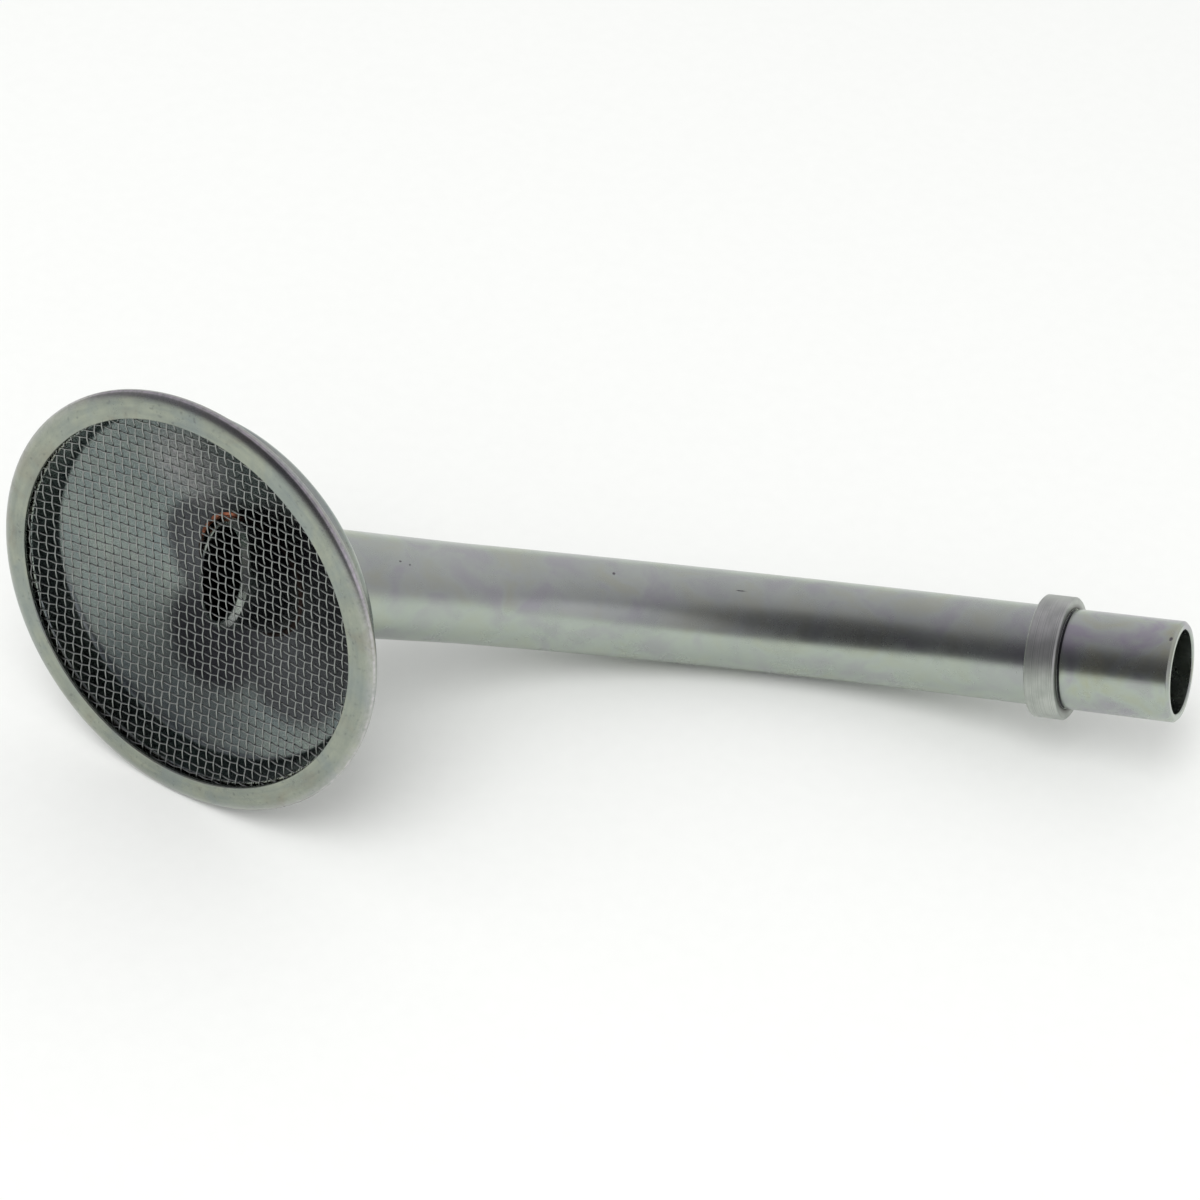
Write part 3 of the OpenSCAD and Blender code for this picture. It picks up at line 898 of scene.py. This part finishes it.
def weaveTree():
    tree = bpy.data.node_groups.new("plainWeave", "GeometryNodeTree")
    face = tree.interface
    sizes = ("Pitch", "Wire", "Reach", "Lip", "Sag", "Level", "Side")
    for name in sizes:
        face.new_socket(name=name, in_out="INPUT", socket_type="NodeSocketFloat")
    face.new_socket(name="Material", in_out="INPUT", socket_type="NodeSocketMaterial")
    face.new_socket(name="Geometry", in_out="OUTPUT", socket_type="NodeSocketGeometry")
    given = addNode(tree, "NodeGroupInput").outputs

    at = addNode(tree, "GeometryNodeInputPosition")
    across = addNode(tree, "ShaderNodeSeparateXYZ", {0: at.outputs[0]}).outputs
    sums = {"x": across["X"], "y": across["Y"], **{name: given[name] for name in sizes}}
    for name, operation, *terms in (
        # one wire for each pitch across the disc, as long as the disc is wide there
        ("each", "DIVIDE", "Reach", "Pitch"),
        ("whole", "FLOOR", "each"),
        ("count", "MULTIPLY_ADD", "whole", 2.0, 1.0),
        ("low", "MULTIPLY", "whole", "Pitch"),
        ("start", "MULTIPLY", "low", -1.0),
        ("ySquare", "MULTIPLY", "y", "y"),
        ("reachSquare", "MULTIPLY", "Reach", "Reach"),
        ("left", "SUBTRACT", "reachSquare", "ySquare"),
        ("half", "SQRT", "left"),
        ("stepLength", "DIVIDE", "Pitch", 6.0),
        # the crimp: half a wire up and down from crossing to crossing
        ("turnRate", "DIVIDE", math.pi, "Pitch"),
        ("xTurn", "MULTIPLY", "x", "turnRate"),
        ("yTurn", "MULTIPLY", "y", "turnRate"),
        ("xWave", "COSINE", "xTurn"),
        ("yWave", "COSINE", "yTurn"),
        ("wave", "MULTIPLY", "xWave", "yWave"),
        ("lift", "MULTIPLY", "Wire", 0.5),
        ("sided", "MULTIPLY", "lift", "Side"),
        ("crimp", "MULTIPLY", "wave", "sided"),
        # the dish: part of a large ball, flat again under the lip
        ("lipSquare", "MULTIPLY", "Lip", "Lip"),
        ("overSag", "DIVIDE", "lipSquare", "Sag"),
        ("both", "ADD", "overSag", "Sag"),
        ("ball", "MULTIPLY", "both", 0.5),
        ("ballSquare", "MULTIPLY", "ball", "ball"),
        ("xSquare", "MULTIPLY", "x", "x"),
        ("outSquare", "ADD", "xSquare", "ySquare"),
        ("under", "SUBTRACT", "ballSquare", "outSquare"),
        ("bowl", "SQRT", "under"),
        ("chord", "SUBTRACT", "ball", "Sag"),
        ("sink", "SUBTRACT", "bowl", "chord"),
        ("depth", "MAXIMUM", "sink", 0.0),
        ("dished", "SUBTRACT", "Level", "depth"),
        ("height", "ADD", "dished", "crimp"),
    ):
        inputs = {i: sums.get(term, term) for i, term in enumerate(terms)}
        sums[name] = addNode(tree, "ShaderNodeMath", inputs, operation=operation).outputs[0]

    # straight wires first, then bent to the weave and skinned
    first = addNode(tree, "ShaderNodeCombineXYZ", {"Y": sums["start"]})
    gap = addNode(tree, "ShaderNodeCombineXYZ", {"Y": given["Pitch"]})
    line = addNode(tree, "GeometryNodeMeshLine", {"Count": sums["count"], "Start Location": first.outputs[0],
                                                  "Offset": gap.outputs[0]})
    stretch = addNode(tree, "ShaderNodeCombineXYZ", {"X": sums["half"], "Y": 1.0, "Z": 1.0})
    wire = addNode(tree, "GeometryNodeCurvePrimitiveLine", {"Start": (-1, 0, 0), "End": (1, 0, 0)})
    laid = addNode(tree, "GeometryNodeInstanceOnPoints", {"Points": line.outputs[0], "Instance": wire.outputs[0],
                                                          "Scale": stretch.outputs[0]})
    real = addNode(tree, "GeometryNodeRealizeInstances", {0: laid.outputs[0]})
    fine = addNode(tree, "GeometryNodeResampleCurve", {"Curve": real.outputs[0], "Length": sums["stepLength"]},
                   mode="LENGTH")
    bent = addNode(tree, "ShaderNodeCombineXYZ", {"X": across["X"], "Y": across["Y"], "Z": sums["height"]})
    moved = addNode(tree, "GeometryNodeSetPosition", {"Geometry": fine.outputs[0], "Position": bent.outputs[0]})
    thick = addNode(tree, "GeometryNodeCurvePrimitiveCircle", {"Resolution": 6, "Radius": sums["lift"]})
    skin = addNode(tree, "GeometryNodeCurveToMesh", {"Curve": moved.outputs[0], "Fill Caps": True,
                                                     "Profile Curve": thick.outputs[0]})
    smooth = addNode(tree, "GeometryNodeSetShadeSmooth", {0: skin.outputs[0]})
    solid = addNode(tree, "GeometryNodeRealizeInstances", {0: smooth.outputs[0]})
    painted = addNode(tree, "GeometryNodeSetMaterial", {"Geometry": solid.outputs[0],
                                                        "Material": given["Material"]})
    addNode(tree, "NodeGroupOutput", {0: painted.outputs[0]})
    return tree


def weaveWires(name, tree, values, side, quarter, material):
    maker = bpy.data.objects.new(name + "Maker", bpy.data.meshes.new(name + "Maker"))
    scene.collection.objects.link(maker)
    modifier = maker.modifiers.new("weave", "NODES")
    modifier.node_group = tree
    settings = {**values, "Side": side, "Material": material}
    for item in tree.interface.items_tree:
        if item.in_out == "INPUT":
            modifier[item.identifier] = settings[item.name]
    mesh = bpy.data.meshes.new_from_object(maker.evaluated_get(bpy.context.evaluated_depsgraph_get()))
    mesh.name = name
    maker.modifiers.remove(modifier)
    bpy.data.objects.remove(maker)
    mesh.transform(Matrix.Scale(mm, 4) @ rimFrame
                   @ Matrix.Rotation(math.radians(values["Turn"] + 90 * quarter), 4, "Z"))
    piece = bpy.data.objects.new(name, mesh)
    scene.collection.objects.link(piece)
    handOver(piece, "strainer_gauze")
    print(name, len(mesh.polygons), "faces")


weave = weaveTree()
wireMetal = makeWire(wireSet)
weaveWires("warpWires", weave, gauzeSet, 1.0, 0, wireMetal)
weaveWires("weftWires", weave, gauzeSet, -1.0, 1, wireMetal)
